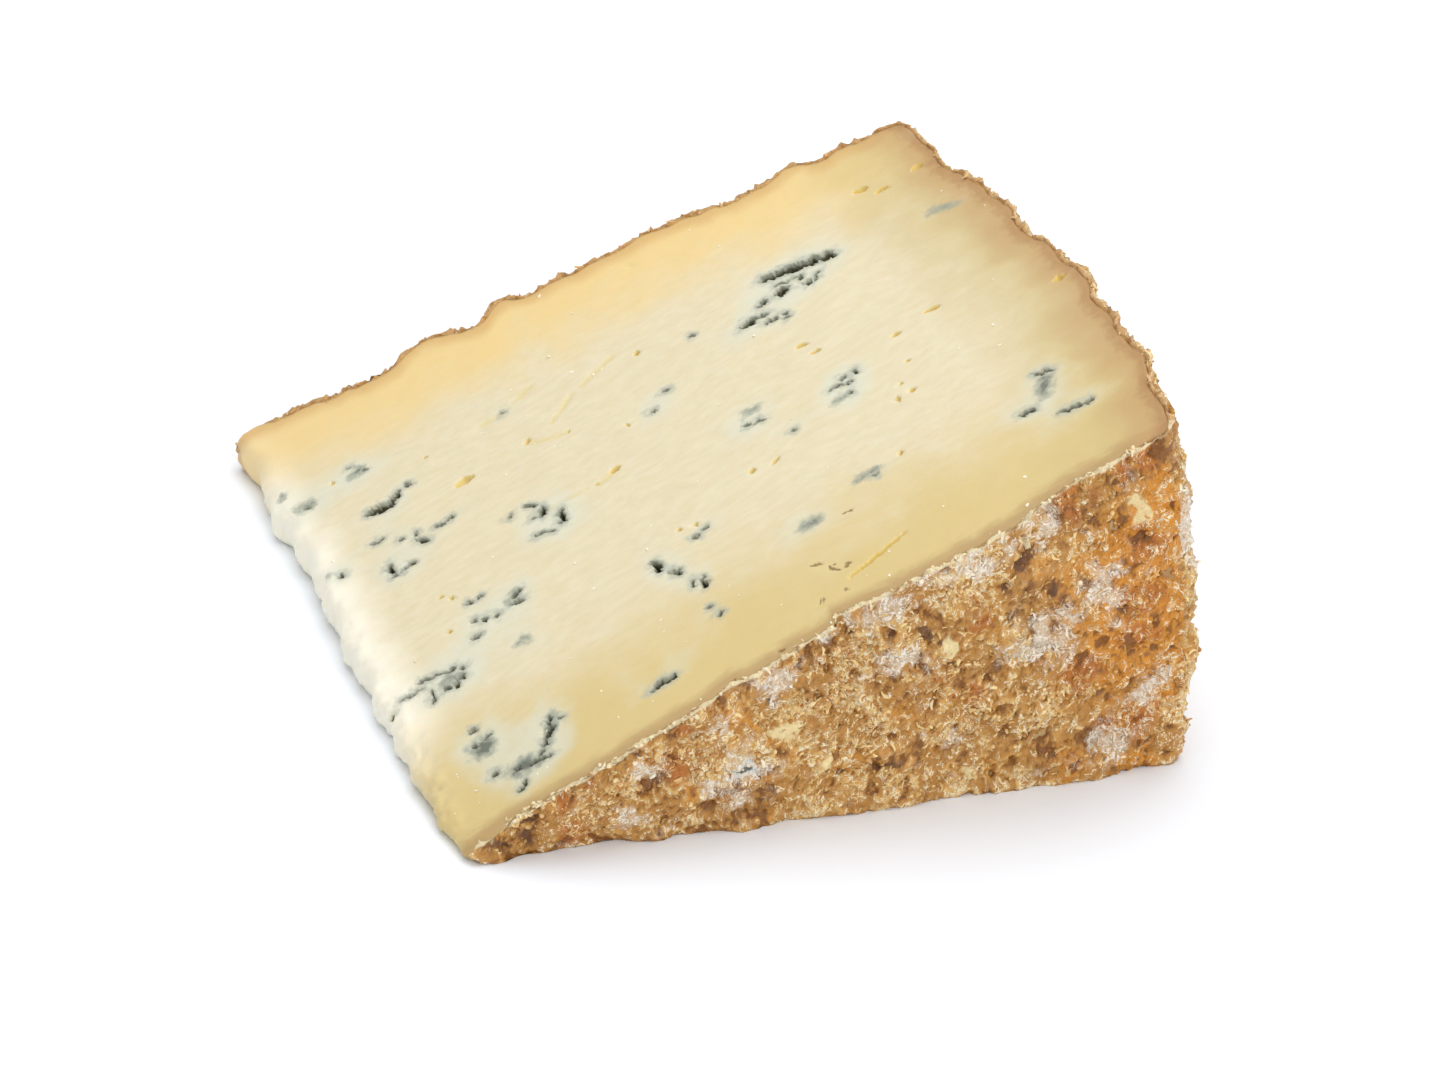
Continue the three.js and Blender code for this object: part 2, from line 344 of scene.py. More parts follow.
# Clean gaps between the curds, in which the paste shines yellow, written like the gaps and pits.
curd_eyes = [
    (23, 72, 4, 2, 0), (67.5, 60, 2.5, 1, -10), (68.5, 57, 2, 1, -10), (83, 52, 3, 1.2, -10),
    (39.5, 56, 2.2, 1, 5), (32.5, 73, 2, 1, 65), (44, 64, 1.5, 0.5, -80), (53, 39.5, 1.8, 1.2, 0),
    (56, 39, 1.8, 0.8, 30), (58.5, 10, 10, 0.8, 15), (97.5, 43.5, 2.5, 1.5, 0), (94, 84.5, 2.5, 1.2, 0),
    (86.5, 86.5, 3, 1.2, -20), (88.5, 84, 2.5, 1.2, 0), (77.5, 51, 2, 1, 0),
]
eye_dots = [
    (20.5, 82.5, 1), (8.5, 88.5, 1.2), (12.5, 50, 1.2), (13.5, 48.5, 1.2), (11, 42, 1.3), (36.5, 55, 1),
    (37.5, 70, 1), (50.5, 79, 1.6), (68.5, 26.5, 1.3), (74.5, 37.5, 1.5), (72.5, 37.5, 1.5),
    (76.5, 44, 1), (74, 40, 1), (43.5, 35.5, 1), (41.5, 36, 1),
]

# Hair-thin brown cracks, and soft yellow seams between the curds, written like the gaps.
brown_cracks = [
    (52, 14.5, 2, 0.3, -40), (53.5, 12.5, 2, 0.4, -60), (55, 11.5, 1.5, 0.3, 0), (59, 21, 1.5, 0.3, -10),
    (50, 7.5, 1.2, 0.4, 30), (53, 7, 0.8, 0.3, 0), (36, 2, 1.5, 0.4, 0), (42.5, 2.5, 1.5, 0.4, 0),
]
curd_seams = [
    (45, 80, 7, 0.6, 25), (38.5, 76, 7, 0.6, 40), (35, 84, 5, 0.5, 25), (30.5, 82.5, 5, 0.5, 5),
    (35, 71, 6, 0.6, -25), (38.5, 55.5, 4, 0.5, 15), (31, 55.5, 10, 0.5, -5), (57, 99, 2, 0.5, -45),
]
mould_gaps += round_marks(mould_pits)
curd_eyes += round_marks(eye_dots)

# How far the walls of the paste stand inside the rind's face, at the front flat and on the other
# two sides. Up to the reach of bare_tip there is no rind, and they don't stand back.
front_bed = 0.9
side_bed = 0.5
bare_tip = 0.5
grid_step = 1.0
cleft_depth = 2.8
eye_depth = 1.0
eye_crookedness = 0.45
haze_share = 0.42
haze_reach = 3.4


def paste_place(spots):
    """The paste's skin at places from 0 to 1: reach, distance from the front flat and height."""
    clad = smooth(spots[:, 0] * foot_reach, bare_tip, bare_tip + 4)
    out = spots[:, 0] * (1 - clad * side_bed / foot_reach)
    depth = lerp(clad * front_bed / axis_length, 1 - clad * side_bed / axis_length, spots[:, 1])
    return skin_place(out, depth, spots[:, 2])


def cut_marks(spots, crookedness=1.0):
    """Places on the upper cut, in millimetres up the slope and along the tip, jolted by the curd."""
    points = leaned(*paste_place(spots))
    u = points[:, 0] * math.cos(wedge_angle) + points[:, 2] * math.sin(wedge_angle)
    flat = np.stack([u, points[:, 1], np.zeros(len(u))], axis=1)
    moved = flat + crookedness * (0.5 * jolt(flat, 1.4) + 0.34 * jolt(flat + 50, 0.55))
    return moved[:, 0], moved[:, 1]


def near_gaps(margin):
    def chosen(spots):
        u, v = cut_marks(spots)
        inside = inside_marks(u, v, mould_gaps + brown_cracks)
        inside = np.maximum(inside, inside_marks(*cut_marks(spots, eye_crookedness), curd_eyes))
        return (spots[:, 2] > 0.99) & (inside > -margin)
    return chosen


def set_places(mesh, points):
    """Moves the corners of a mesh to points, and gives the ways in which they then face."""
    mesh.vertices.foreach_set("co", points.ravel())
    mesh.update()
    return np.array([v.normal for v in mesh.vertices])


spots, faces = lattice(round(foot_reach / grid_step), round(axis_length / grid_step), 8)
paste_mesh = bpy.data.meshes.new("paste_body")
paste_mesh.from_pydata(spots.tolist(), [], faces)
shape = bmesh.new()
shape.from_mesh(paste_mesh)
shape.verts.index_update()
refine(shape, lambda spots: (spots[:, 2] > 0.999) | (spots[:, 0] < 0.001))
for margin in (0.5, 0.2):
    refine(shape, near_gaps(margin))
shape.to_mesh(paste_mesh)
shape.free()

spots = np.array([v.co for v in paste_mesh.vertices])
reach, along, height = paste_place(spots)
points = leaned(reach, along, height)
normals = set_places(paste_mesh, points)
u, v = cut_marks(spots)
on_top = smooth(spots[:, 2], 0.45, 0.95)
slit = inside_marks(u, v, mould_gaps)
eye = inside_marks(*cut_marks(spots, eye_crookedness), curd_eyes)
crack = inside_marks(u, v, brown_cracks)
seam = inside_marks(u, v, curd_seams)

# A cleft is deepest in winding crevices and along its edge. Lumps of curd stand between them.
winding = np.exp(-((rough(points, 1.1, 2, 13.0) / 0.22) ** 2))
edge_crevice = np.exp(-(((slit - 0.15) / 0.2) ** 2))
opened = smooth(slit + 0.12 * rough(points, 0.7, 1, 40.0), -0.08, 0.16)
hollow = opened * (0.36 + 0.64 * np.maximum(winding, edge_crevice))
streaked = points * np.array([0.3, 1, 0.3])
on_tip = 1 - smooth(reach, 0.5, 3)
curd = 0.04 * rough(streaked, 1.6, 2) + 0.06 * rough(points, 3.5, 2, 9.0)
curd = curd + on_tip * (0.36 * rough(points, 1.9, 3, 4.0) + 0.2 * rough(points, 0.8, 2, 7.0))
sunk = cleft_depth * hollow + eye_depth * (1 - np.exp(-np.maximum(eye, 0) / 0.35))
sunk = sunk + 0.3 * smooth(crack, -0.1, 0.2) + 0.22 * smooth(seam, -0.4, 0.25)
away = np.array([-math.sin(wedge_angle), 0, math.cos(wedge_angle)])
under = smooth(-normals[:, 2], 0.5, 0.95)
points = points + normals * (curd * (1 - under))[:, None]
points = points - away * (on_top * sunk)[:, None]
points[:, 2] = np.maximum(points[:, 2], 0)
paste_mesh.vertices.foreach_set("co", ((points + shift) * MM).ravel())

# What the finish needs to know of each place: how deep it lies in a gap, how much the mould has
# stained it, and how far it is from the rind on each side. Underneath, mould only stains the cut.
underside_span = 100
far = -nowhere * (1 - on_top)
stain_above = inside_marks(u, v, mould_stains)
stain_below = inside_marks(underside_span - u, v, mould_gaps) + 0.2
crumb_cover = 0.5 + 2 * np.exp(-((reach / 25) ** 2) - (along / 25) ** 2) + smooth(along, 20, 3)
marks = {
    "slit": slit * on_top + far,
    "hollow": hollow * on_top,
    "haze": haze_round(u, v, mould_gaps + mould_stains) * on_top,
    "stain": np.maximum(stain_above * on_top + far, stain_below - nowhere * smooth(spots[:, 2], 0, 0.05)),
    "eye": eye * on_top + far,
    "crack": smooth(crack, -0.25, 0.1) * on_top,
    "seam": seam * on_top + far,
    "rim_gap": side_reach(1, spots[:, 1]) - reach,
    "back_gap": back_face(reach, height) - along,
    "front_gap": along - front_face(reach, spots[:, 2], height),
    "along": along,
    "tip_gap": reach + 8 * smooth(along, 32, 6),
    "crumbly": crumb_cover * (spots[:, 2] > 0.999) * (slit < -0.5),
}


def keep_marks(mesh, marks):
    """Stores marks as attributes of a mesh, where its finish reads them, and shades it smoothly."""
    for name, values in marks.items():
        layer = mesh.attributes.new(name, "FLOAT", "POINT")
        layer.data.foreach_set("value", values.astype(np.float32))
    mesh.polygons.foreach_set("use_smooth", np.ones(len(mesh.polygons), bool))
    mesh.update()


def stand(name, data):
    """Puts a mesh, a lamp or a camera into the scene as an object."""
    made = bpy.data.objects.new(name, data)
    bpy.context.scene.collection.objects.link(made)
    return made


keep_marks(paste_mesh, marks)
paste = stand("paste_body", paste_mesh)


def hue(code):
    """The linear colour of an sRGB hex value."""
    parts = [int(code[i:i + 2], 16) / 255 for i in (0, 2, 4)]
    return [p / 12.92 if p <= 0.04045 else ((p + 0.055) / 1.055) ** 2.4 for p in parts] + [1.0]


def feed(tree, node, inputs):
    """Sets inputs of a node. An input is a value, or the output that is linked to it."""
    for socket, value in inputs.items():
        if isinstance(value, bpy.types.NodeSocket):
            tree.links.new(value, node.inputs[socket])
        else:
            node.inputs[socket].default_value = value


def add(tree, kind, inputs=None, **settings):
    """Adds a node with its settings and inputs."""
    made = tree.nodes.new(kind)
    for name, value in settings.items():
        setattr(made, name, value)
    feed(tree, made, inputs or {})
    return made


def maths(tree, operation, *values, kind="ShaderNodeMath"):
    """What an operation makes of its values, each of them a value or another node's output."""
    return add(tree, kind, dict(enumerate(values)), operation=operation).outputs[0]


def vector_maths(tree, operation, *values):
    return maths(tree, operation, *values, kind="ShaderNodeVectorMath")


def blend(tree, amount, first, second):
    """The first colour where the amount is 0, and the second where it is 1."""
    return add(tree, "ShaderNodeMix", {0: amount, 6: first, 7: second}, data_type="RGBA").outputs[2]


def bump(tree, pattern, strength, depth, under=None):
    """Lets a pattern stand out of the skin by a depth in millimetres, over the bumps under it."""
    inputs = {"Height": pattern, "Strength": strength, "Distance": depth * MM}
    if under is not None:
        inputs["Normal"] = under
    return add(tree, "ShaderNodeBump", inputs).outputs[0]


def new_finish(name, marks):
    """An empty material: its tree, its shader, object coordinates and the marks it can read."""
    made = bpy.data.materials.new(name)
    made.use_nodes = True
    tree = made.node_tree
    tree.nodes.clear()
    shader = add(tree, "ShaderNodeBsdfPrincipled")
    add(tree, "ShaderNodeOutputMaterial", {"Surface": shader.outputs["BSDF"]})
    known = {mark: add(tree, "ShaderNodeAttribute", attribute_name=mark).outputs["Fac"] for mark in marks}
    return made, tree, shader, add(tree, "ShaderNodeTexCoord").outputs["Object"], known


def uneven(tree, place, size, detail=3.0, roughness=0.6, distortion=0.0):
    """A cloudy pattern with spots of a size in millimetres."""
    return add(tree, "ShaderNodeTexNoise", {
        "Vector": place, "Scale": 1 / (size * MM), "Detail": detail, "Roughness": roughness,
        "Distortion": distortion,
    }).outputs[0]


def layered(tree, known, paint, layers):
    """Lays layers of colour over a paint, and gives the whole.

    A layer is a colour, the mark it depends on, where it starts and is full, the pattern that
    makes its edge uneven and how much, and its strength.
    """
    for colour, mark, start, full, pattern, spread, strength in layers:
        centred = maths(tree, "ADD", pattern, -0.5)
        amount = add(tree, "ShaderNodeMapRange", {
            "Value": maths(tree, "MULTIPLY_ADD", centred, spread, known[mark]),
            "From Min": start, "From Max": full, "To Max": strength,
        }, interpolation_type="SMOOTHSTEP").outputs[0]
        paint = blend(tree, amount, paint, hue(colour))
    return paint


# Pressed curd cut by a wire: waxy and half matt, with faint streaks where the wire drew the fat
# out, light that goes in and comes out warm, and mould in every gap, painted near black as shade
# where the gaps run deepest.
paste_finish, tree, shader, place, known = new_finish("blue cheese paste, wire cut", marks)
swirl = add(tree, "ShaderNodeTexNoise", {"Vector": place, "Scale": 1000 / 14, "Detail": 1.0})
drift = add(tree, "ShaderNodeVectorMath", {
    0: swirl.outputs["Color"], "Scale": 5 * MM,
}, operation="SCALE").outputs[0]
drawn_out = add(tree, "ShaderNodeMapping", {
    "Vector": place, "Rotation": (0, -wedge_angle, 0), "Scale": (3, 1, 1),
}, vector_type="TEXTURE").outputs[0]
streaks = uneven(tree, vector_maths(tree, "ADD", drawn_out, drift), 1.1)
clouds = uneven(tree, place, 9, roughness=0.55)
speckle = uneven(tree, place, 0.55)
crumble = uneven(tree, place, 1.2, roughness=0.65)

wavy = add(tree, "ShaderNodeMapRange", {
    "Value": streaks, "From Min": 0.3, "From Max": 0.7,
}).outputs[0]
paint = layered(tree, known, blend(tree, wavy, hue("ddd0ac"), hue("e4d9ba")), [
    # Pale ivory at the bare tip: partly the paste's own colour, partly painted light on the tip's face,
    # which turns away from the lamps.
    ("f9f3e0", "tip_gap", 7.5, 1.0, clouds, 7.0, 0.95),
    ("d5bd7c", "along", 34.0, 8.0, clouds, 16.0, 0.85),
    ("ebcb82", "back_gap", 24.0, 5.0, clouds, 16.0, 0.75),
    ("cbb67e", "rim_gap", 21.0, 4.0, clouds, 12.0, 0.75),
    # A grey-brown band beside the front rind: partly the paste darkened under the crust, partly painted
    # shade beside the rind's raised edge.
    ("b39061", "front_gap", 4.4, 1.6, streaks, 2.4, 0.75),
    ("d3a86a", "back_gap", 4.5, 1.0, clouds, 4.0, 0.7),
    ("bf9a68", "rim_gap", 8.5, 1.5, clouds, 7.0, 0.75),
    ("a87a4c", "rim_gap", 2.8, 0.8, crumble, 2.6, 0.6),
    ("e2cf8e", "seam", -0.6, 0.1, speckle, -0.6, 0.55),
    ("d8dbca", "haze", 0.1, 0.9, clouds, 1.2, 0.68),
    ("b0b3a4", "slit", -1.4, 0.0, crumble, 2.4, 0.8),
    ("989d8e", "stain", -1.2, 0.4, crumble, 2.4, 0.85),
    ("5d6257", "stain", 0.1, 1.0, crumble, 2.6, 0.8),
    ("e6cd78", "eye", -0.16, 0.14, speckle, -0.3, 0.75),
    ("94774a", "crack", 0.25, 0.8, speckle, -0.8, 0.75),
    ("929583", "slit", -0.25, 0.0, crumble, 0.8, 0.85),
    # Olive mould lines the gaps; the near black where they run deepest is painted shade.
    ("5f5b42", "hollow", 0.15, 0.36, crumble, 0.5, 0.95),
    ("2b2819", "hollow", 0.45, 0.7, crumble, 0.4, 0.95),
])
grain = bump(tree, streaks, 0.12, 0.2, bump(tree, speckle, 0.25, 0.12))
glow = add(tree, "ShaderNodeMapRange", {
    "Value": known["slit"], "From Min": -0.6, "From Max": 0.0, "To Min": 0.3, "To Max": 0.0,
}).outputs[0]
feed(tree, shader, {
    "Base Color": paint, "Normal": grain, "Roughness": 0.5, "IOR": 1.45, "Specular IOR Level": 0.35,
    "Subsurface Weight": glow, "Subsurface Radius": (1.0, 0.62, 0.3), "Subsurface Scale": 2 * MM,
})
paste_mesh.materials.append(paste_finish)
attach(paste, "root")
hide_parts("cheese_wedge")

# ---------------------------------------------------------------------------------------------
# The rind. A crust that grew on the wheel's two flats and round side while it aged: dried curd,
# yeast and white bloom, granular and pitted, two millimetres thick at most. The wire has cut it
# through, so that its edge shows as a pale line along the cut.

# It is thick on the front flat, and thins out round the corner to the round side and the back.
front_thickness = 1.9
side_thickness = 0.9
corner_turn = 4
front_step = 0.3
column_step = 0.44
row_step = 0.56
rim_rows = 5
inner_rows = 3

# Columns stand from the front end of the tip along the front flat, the round side and the back
# flat to the back end of the tip. The rind wraps the two ends of the tip by a little, and is
# lower there: it climbs to end_climb of the height, and to all of it end_rise millimetres on.
tip_wrap = 0.02
end_climb = 0.62
end_rise = 9
ring_climb = 0.6
leg_parts = 3000
fine_parts = np.linspace(0, 1, leg_parts)
legs = [(0, tip_wrap, 0, 0), (0, 0, 1, 0), (1, 0, 1, 1), (1, 1, 0, 1), (0, 1, 0, 1 - tip_wrap)]
ring_out = np.concatenate([lerp(leg[0], leg[2], fine_parts) for leg in legs])
ring_depth = np.concatenate([lerp(leg[1], leg[3], fine_parts) for leg in legs])
ring = leaned(*skin_place(ring_out, ring_depth, np.full(len(ring_out), ring_climb)))
ring_run = np.concatenate([[0], np.cumsum(np.hypot(*np.diff(ring[:, :2], axis=0).T))])
ring_end = ring_run[-1]
front_end = ring_run[2 * leg_parts - 1]
side_end = ring_run[3 * leg_parts - 1]
front_columns = np.linspace(0, front_end, round(front_end / front_step), endpoint=False)
other_columns = np.linspace(front_end, ring_end, round((ring_end - front_end) / column_step))
columns = np.concatenate([front_columns, other_columns])

# A column runs up the rind's face, across the cut edge, down its back in the paste and across
# the foot: a height from 0 to 1 and a share of the thickness for each of its points.
outer_rows = 12
column = [(k / outer_rows, 0.0) for k in range(outer_rows + 1)]
column += [(1.0, (k + 1) / rim_rows) for k in range(rim_rows)]
column += [(1 - (k + 1) / inner_rows, 1.0) for k in range(inner_rows)]
column += [(0.0, 0.66), (0.0, 0.33)]
rows = len(column)
run = np.repeat(columns, rows)
climb = np.tile([part[0] for part in column], len(columns))
share = np.tile([part[1] for part in column], len(columns))
faces = []
for i in range(len(columns) - 1):
    for k in range(rows):
        here, above = i * rows + k, i * rows + (k + 1) % rows
        faces.append((here, here + rows, above + rows, above))
faces.append(tuple(range(rows)))
faces.append(tuple(range((len(columns) - 1) * rows, len(columns) * rows))[::-1])


def past_corner(run):
    """0 along the front flat, and 1 along the round side and the back flat."""
    return smooth(run, front_end - corner_turn, front_end + corner_turn)


def rind_depth(run, share):
    """How deep in the rind a place lies, in millimetres, at a share of the thickness."""
    return share * lerp(front_thickness, side_thickness, past_corner(run))


def rind_place(run, climb, share):
    """Reach, distance from the front flat and height of a place on the rind."""
    inset = rind_depth(run, share)
    out = np.interp(run, ring_run, ring_out)
    depth = np.interp(run, ring_run, ring_depth)
    out = lerp(inset / foot_reach, 1 - inset / foot_reach, out)
    depth = lerp(inset / axis_length, 1 - inset / axis_length, depth)
    from_end = np.minimum(run, ring_end - run)
    return skin_place(out, depth, climb * lerp(end_climb, 1, smooth(from_end, 0, end_rise)))


# Run, climb and share stand in for the three coordinates while rows are halved, until none is
# taller than a grain.
rind_mesh = bpy.data.meshes.new("rind_crust")
rind_mesh.from_pydata(np.stack([run, climb, share], axis=1).tolist(), [], faces)
shape = bmesh.new()
shape.from_mesh(rind_mesh)
for _ in range(4):
    spots = np.array([v.co for v in shape.verts])
    height = rind_place(*spots.T)[2]
    shape.verts.index_update()
    tall = []
    for edge in shape.edges:
        a, b = edge.verts[0].index, edge.verts[1].index
        upright = spots[a, 0] == spots[b, 0] and spots[a, 2] == 0 and spots[b, 2] == 0
        if upright and abs(height[a] - height[b]) > row_step:
            tall.append(edge)
    bmesh.ops.subdivide_edges(shape, edges=tall, cuts=1)
shape.to_mesh(rind_mesh)
shape.free()

run, climb, share = np.array([v.co for v in rind_mesh.vertices]).T
reach, along, height = rind_place(run, climb, share)
points = leaned(reach, along, height)
normals = set_places(rind_mesh, points)
facing = share < 0.01
on_cut = climb > 0.999


def cells(points, size):
    """How far each point is from the middle of its cell, for cells of a size, from 0 to about 1."""
    return np.array([noise.voronoi(p)[0][0] for p in points / size])


def ridges(points, size, start=0.0):
    """Thin winding ridges: 1 on a ridge, falling to 0 between them."""
    bent = points + 0.4 * size * jolt(points + start, size)
    return np.exp(-((rough(bent, size, 2, start) / 0.13) ** 2))


# Patches of the front flat: reach and height of the middle, and width. A fourth value is the
# height of a patch that isn't round.
white_bloom = [
    (21.5, 4.5, 3), (23.5, 12.5, 4), (33, 17.5, 3), (34, 7, 4), (37.5, 8, 5), (40.5, 23.5, 5),
    (47.5, 28.5, 3, 1.5), (51, 30, 2, 1.5), (54, 29.5, 6, 2), (58, 23, 5), (66, 8.5, 3), (67.5, 38.5, 1.5),
    (68.5, 36, 5), (72, 39.5, 3), (77, 42, 6), (78, 38.5, 3), (78, 23.5, 7), (82.5, 26, 4), (86, 28.5, 5),
    (87.5, 31.5, 4), (88, 5.5, 5), (93.5, 13, 3), (56, 31.5, 8, 2.5), (62, 35, 5, 2),
]
amber_crust = [
    (13, 8, 3), (14, 3, 4), (15.5, 11, 2), (27.5, 12, 5), (28, 18, 3), (33, 20.5, 2), (63, 20, 3),
    (68, 15, 3), (68.5, 27, 3), (81, 42.5, 5), (83.5, 45, 3), (84, 17, 8, 4), (86.5, 8, 3),
    (88, 47, 3), (91, 48, 4), (91, 22, 5), (92, 8.5, 6), (92, 27, 5), (92, 35, 6),
]
# Dark pits, sunk a little and painted dark brown: partly the crust's own darker brown, partly painted
# shade in the pits.
dark_pits = [
    (4.5, 2.5, 2.5), (8, 6, 1.5), (8, 3, 3), (26, 1.5, 1), (38, 24.5, 1), (47.5, 5, 1.2), (49.5, 29.5, 1),
    (50, 7, 2), (56, 32.5, 2, 1), (56.5, 27, 2), (56.5, 7.5, 5, 1.5), (61.5, 27.5, 3.5), (64, 25.5, 2),
    (65.5, 21.5, 2), (66, 11, 2), (73.5, 32, 1.5), (74.5, 36, 3), (74.5, 12, 1), (76, 8, 1.5),
    (78.5, 31, 1.5), (80.5, 29, 1), (81.5, 12, 1), (89.5, 26, 2),
]
waxy_lumps = [
    (42.5, 15, 3), (47.5, 8.5, 3), (65, 24.5, 1.2, 4), (68, 4, 2.5), (90, 42, 3.5, 2.5), (91.5, 40.5, 2.5),
]

# Blue mould on the crust. For the side and the back, the way round the rind from the tip stands
# in for the reach.
blue_spots = [(37, 9, 2, 1.5), (172, 30, 2.5, 2), (238, 14, 2, 2)]


def patches(across, up, spots, spread=0.7):
    """1 in the middle of the patches, fading out at their edges."""
    best = np.zeros(len(across))
    for x, z, wide, *tall in spots:
        far_x = (across - x) / (spread * wide)
        far_z = (up - z) / (spread * (tall or [wide])[0])
        best = np.maximum(best, np.exp(-(far_x**2) - far_z**2))
    return best


# The side and the back are patched alike, at places drawn by lot.
lot = np.random.default_rng(7)


def drawn(count, low_size, high_size):
    places = []
    for _ in range(count):
        wide, tall = lot.uniform(low_size, high_size, 2)
        places.append((lot.uniform(front_end, ring_end), lot.uniform(2, 46), wide, tall))
    return places


across = np.where(run < front_end, reach, run)
ragged = jolt(points, 2.6)
across = across + 1.6 * ragged[:, 0]
up = height + 1.6 * ragged[:, 2]
bloom = patches(across, up, white_bloom + drawn(44, 4, 9), 0.75) + 0.75 * rough(points, 2.6, 4, 12.0)
amber = patches(across, up, amber_crust + drawn(44, 4, 9)) + 0.5 * rough(points, 4.0, 4, 22.0)
dark = patches(across, up, dark_pits + drawn(50, 1, 3), 0.5)
waxy = patches(across, up, waxy_lumps + drawn(14, 1.5, 3.5), 0.55)
mould = patches(across, up, blue_spots)

crags = rough(points, 7.0, 3)
pits = smooth(rough(points, 2.4, 3, 31.0), 0.2, 0.6)
lumps = 0.5 - cells(points + 0.7 * jolt(points, 1.7), 2.2)
curls = ridges(points, 2.1) + 0.6 * ridges(points, 1.2, 17.0)
grit = rough(points, 0.8, 2, 3.0)
calm = 1 - 0.45 * smooth(rough(points, 14.0, 2, 71.0), 0.0, 0.5)
relief = 0.32 * crags + calm * (0.42 * lumps + 0.4 * curls + 0.18 * grit - 0.55 * pits)
relief = lerp(relief, 0.3 * crags + 0.5 + 0.3 * lumps, waxy) - 0.4 * dark - 0.4 * mould
zone = rough(points, 8.0, 3, 81.0)
# The crust's tone follows its relief: paler on lumps and curls, darker in pits. Part of this is painted
# shade in the pits and painted highlight on the peaks.
crust_tone_shade_highlight = 0.7 * lumps + 0.85 * curls + 0.5 * grit - 1.1 * pits - 0.7 * dark + 0.7 * zone

# The cut edge: an uneven ridge that falls away into the paste. At the tip the rind thins out.
past_front = past_corner(run)
fall = smooth(rind_depth(run, share), lerp(0.75, 0.4, past_front), lerp(1.9, 0.85, past_front))
ridge = 0.12 + 0.4 * rough(points, 1.5, 3, 5.0) + 0.26 * grit - 1.1 * fall
from_end = np.minimum(run, ring_end - run)
thinned = smooth(from_end, 0.0, 5.0)
sunk = -0.35 * (1 - smooth(from_end + 0.8 * rough(points, 1.6), 0.2, 1.4))
face_lift = relief * (0.4 + 0.6 * thinned) * lerp(0.4, 1, smooth(height, 0, 2.5)) + 0.1 + sunk
lift = np.where(on_cut & ~facing, ridge + sunk, np.where(facing, face_lift, 0))
moved = points + normals * lift[:, None]
moved = moved + (0.2 * jolt(points, 0.8) + 0.25 * jolt(points + 9, 2.5)) * facing[:, None]
foot = np.where(climb < 0.001, 0.1 + 0.12 * rough(points, 1.5), 0)
moved[:, 2] = np.maximum(moved[:, 2] + foot, 0.02)
rind_mesh.vertices.foreach_set("co", ((moved + shift) * MM).ravel())

cut_edge = np.where(on_cut, 1.0, 0.0) * smooth(share, -0.1, 0.1)
behind = smooth(run, side_end - 6, side_end + 2)
clumps = 0.2 + 1.3 * smooth(zone + 0.7 * rough(points, 3.0, 2, 55.0), -0.2, 0.5)
clumps = np.where(run < front_end, 1.15, 0.5) * clumps
marks = {
    "crust_tone_shade_highlight": crust_tone_shade_highlight,
    "cut_edge": cut_edge,
    "brown_edge": cut_edge * (0.8 * smooth(run, front_end, front_end + 4) + 0.2 * behind),
    "edge_pits": cut_edge * smooth(rough(points, 1.3, 3, 61.0), 0.05, 0.4),
    "bloom": bloom,
    "amber": amber,
    "orange": patches(across, height, [(93, 30, 14, 40)], 0.6) * (run < front_end) + 0.3 * crags,
    "dark": dark,
    "waxy": waxy,
    "mould": mould,
    "crumbly": np.where(facing, clumps, on_cut * np.where(run < front_end, 0.6, 0.2)) * (height > 2),
}
keep_marks(rind_mesh, marks)
rind = stand("rind_crust", rind_mesh)

# Dried, yeast-grown crust: dull and sugary. Fat that has wept into it makes it golden brown, and
# pale specks and curls of dry curd and white bloom are stippled over that. Its paint is also
# darker in the pits and paler on the peaks of its relief, as painted shade and painted highlight.
rind_finish, tree, shader, place, known = new_finish("natural cheese rind, aged and brushed", marks)
blotches = uneven(tree, place, 5, 4.0, 0.65, 0.8)
flecks = uneven(tree, place, 1.5, 4.0, 0.7, 1.2)
specks = uneven(tree, place, 0.6, 2.0, 0.6, 1.2)
wander = uneven(tree, place, 1.5, 1.5, 0.5, 1.8)
off_line = maths(tree, "ABSOLUTE", maths(tree, "SUBTRACT", wander, 0.5))
curl_lines = add(tree, "ShaderNodeMapRange", {
    "Value": off_line, "From Min": 0.06, "From Max": 0.015,
}, interpolation_type="SMOOTHSTEP").outputs[0]
